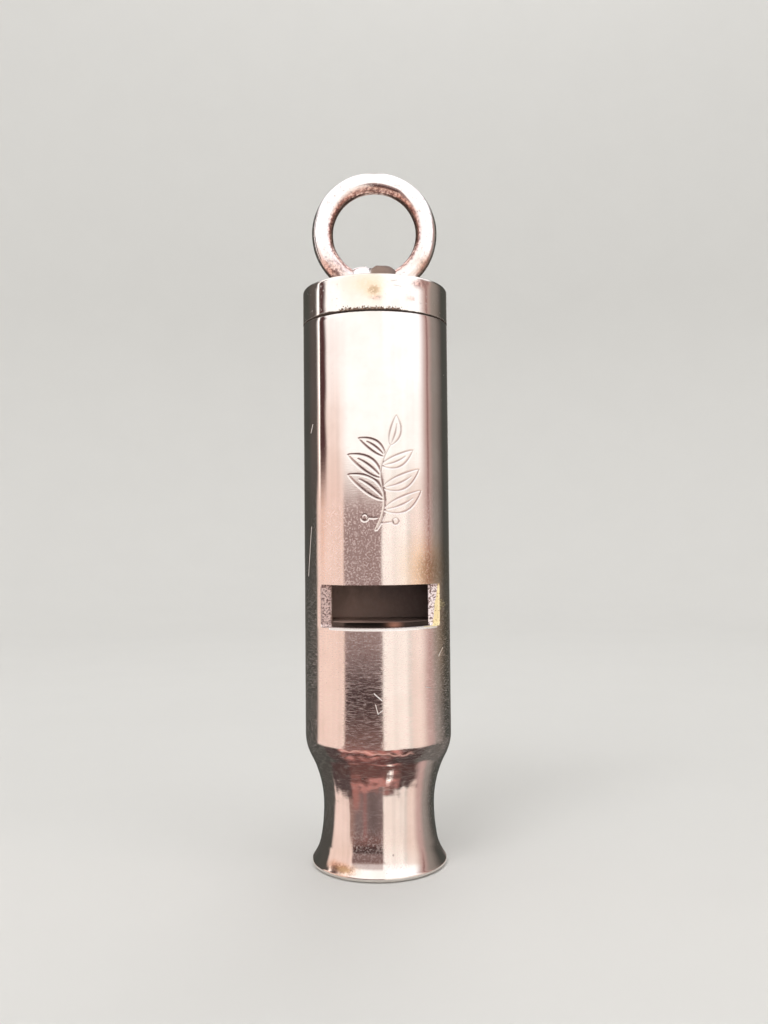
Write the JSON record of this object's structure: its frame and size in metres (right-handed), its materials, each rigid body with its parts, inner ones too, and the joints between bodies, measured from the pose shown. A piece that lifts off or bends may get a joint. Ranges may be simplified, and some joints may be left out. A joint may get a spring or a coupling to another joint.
{
  "type": "training whistle",
  "caption": "Slim nickel-plated tube whistle with a flared mouthpiece, sawn sound windows, divided air chambers and a fixed hanging ring on a soldered cap.",
  "frame": {"origin": "centre of the mouthpiece's rim, on the plane that the rim stands on", "axes": "+Z along the barrel from the mouthpiece to the ring, -Y out of the front window, the ring lies in the XZ plane"},
  "size_m": [0.017, 0.017, 0.0811],
  "materials": {
    "nickel_plated_barrel": "worn nickel plate, polished round the tube",
    "nickel_plated_cap": "worn nickel plate, turned and polished",
    "nickel_plated_ring": "worn nickel plate, polished and pitted",
    "hard_solder": "plated over, uneven",
    "soft_solder": "dull, dirt-filled",
    "bare_brass": "dull, darkened inside the barrel"
  },
  "bodies": {
    "root": {"barrel": "nickel_plated_barrel", "end_cap": "nickel_plated_cap", "hanging_ring": "nickel_plated_ring", "ring_braze": "hard_solder", "cap_solder": "soft_solder", "divider_plate": "bare_brass", "front_airway_plug": "bare_brass", "rear_airway_plug": "bare_brass", "rear_chamber_stop": "bare_brass"}
  },
  "joints": []
}
